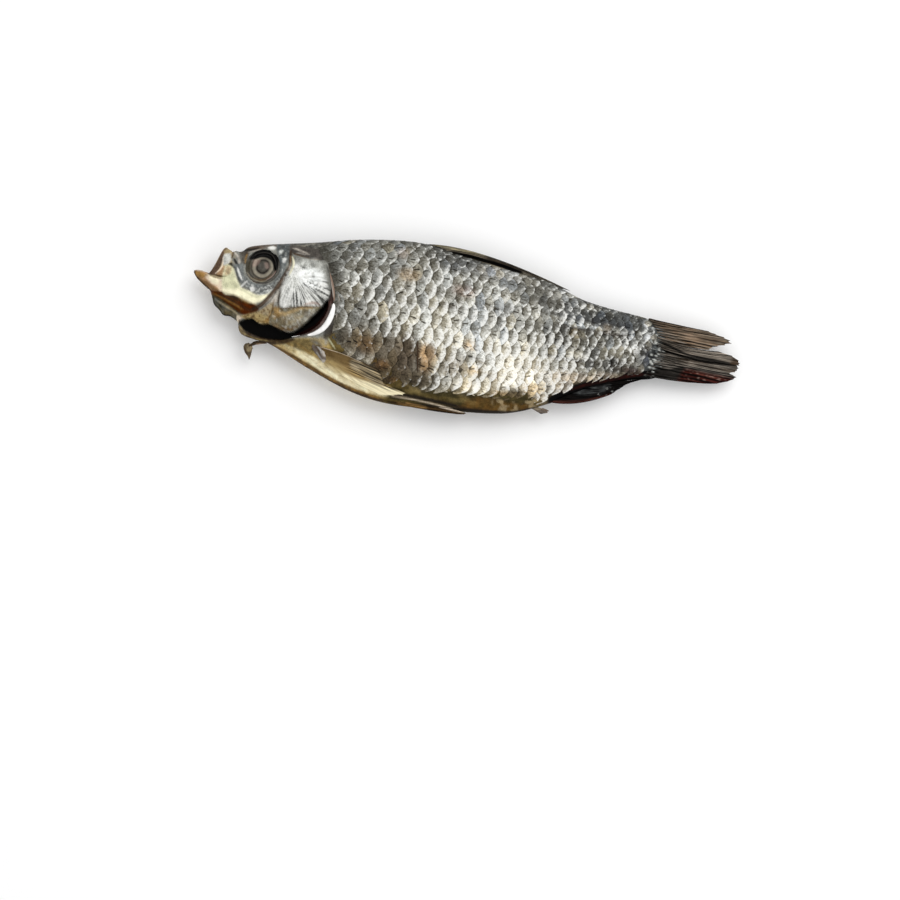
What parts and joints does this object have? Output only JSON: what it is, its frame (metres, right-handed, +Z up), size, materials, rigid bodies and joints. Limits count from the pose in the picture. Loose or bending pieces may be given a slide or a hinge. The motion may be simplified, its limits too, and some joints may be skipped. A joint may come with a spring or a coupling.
{
  "type": "smoked fish",
  "caption": "Whole dry-cured silvery fish with its head, scales and fins on, mouth and gill covers gaping, lying on its right side.",
  "frame": {"origin": "on the table, below the middle of the fish's length and depth", "axes": "+X along the fish from the head to the tail, +Y from the belly to the back, +Z up, out of the left side"},
  "size_m": [0.2407, 0.0728, 0.0216],
  "materials": {
    "dried_skin": "dry scaled fish skin, silver grey with a darker back and a golden belly, faint oily sheen"
  },
  "bodies": {
    "root": {"fish": "dried_skin"}
  },
  "joints": []
}
